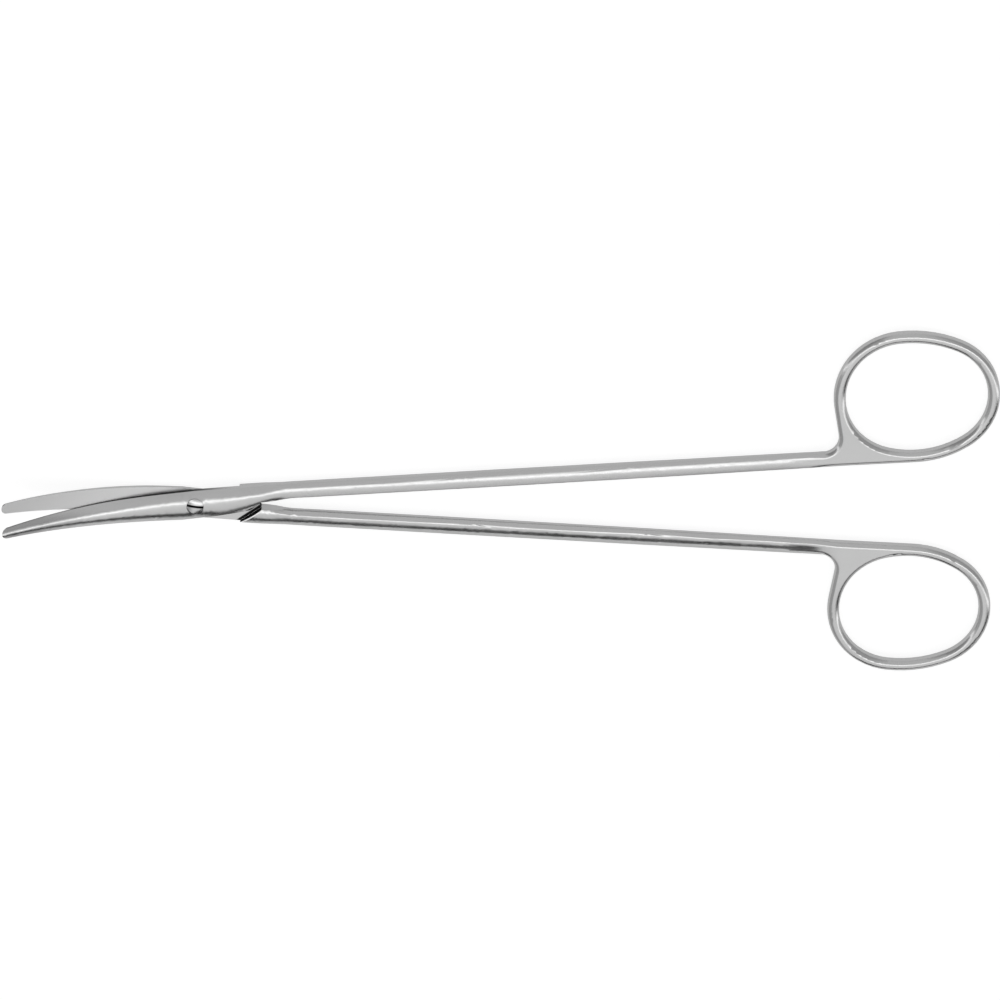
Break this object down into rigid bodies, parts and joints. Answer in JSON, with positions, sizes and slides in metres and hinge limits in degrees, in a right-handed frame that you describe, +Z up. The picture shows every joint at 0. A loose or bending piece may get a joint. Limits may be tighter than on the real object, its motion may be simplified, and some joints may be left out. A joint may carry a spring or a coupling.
{
  "type": "dissecting scissors",
  "caption": "Long slender dissecting scissors with fine blunt blades curved on the flat, two finger rings and a slotted pivot screw.",
  "frame": {"origin": "on the pivot axis, at the flat underside of the joint", "axes": "+X from the pivot towards the finger rings, +Z up along the pivot axis towards the screw head and the side that the blade tips curve to, +Y towards the ring of the front half"},
  "size_m": [0.2289, 0.0862, 0.0131],
  "materials": {
    "satin_steel": "satin stainless steel, bead-like matt sheen",
    "screw_steel": "turned stainless steel, a little brighter"
  },
  "bodies": {
    "rear": {"rear_half": "satin_steel", "pivot_screw": "screw_steel"},
    "front": {"front_half": "satin_steel"}
  },
  "joints": [
    {"name": "pivot", "type": "hinge", "parent": "rear", "child": "front", "pos_m": [0, 0, 0.00208], "axis": [0, 0, 1], "range_deg": [-6.6, 50]}
  ]
}
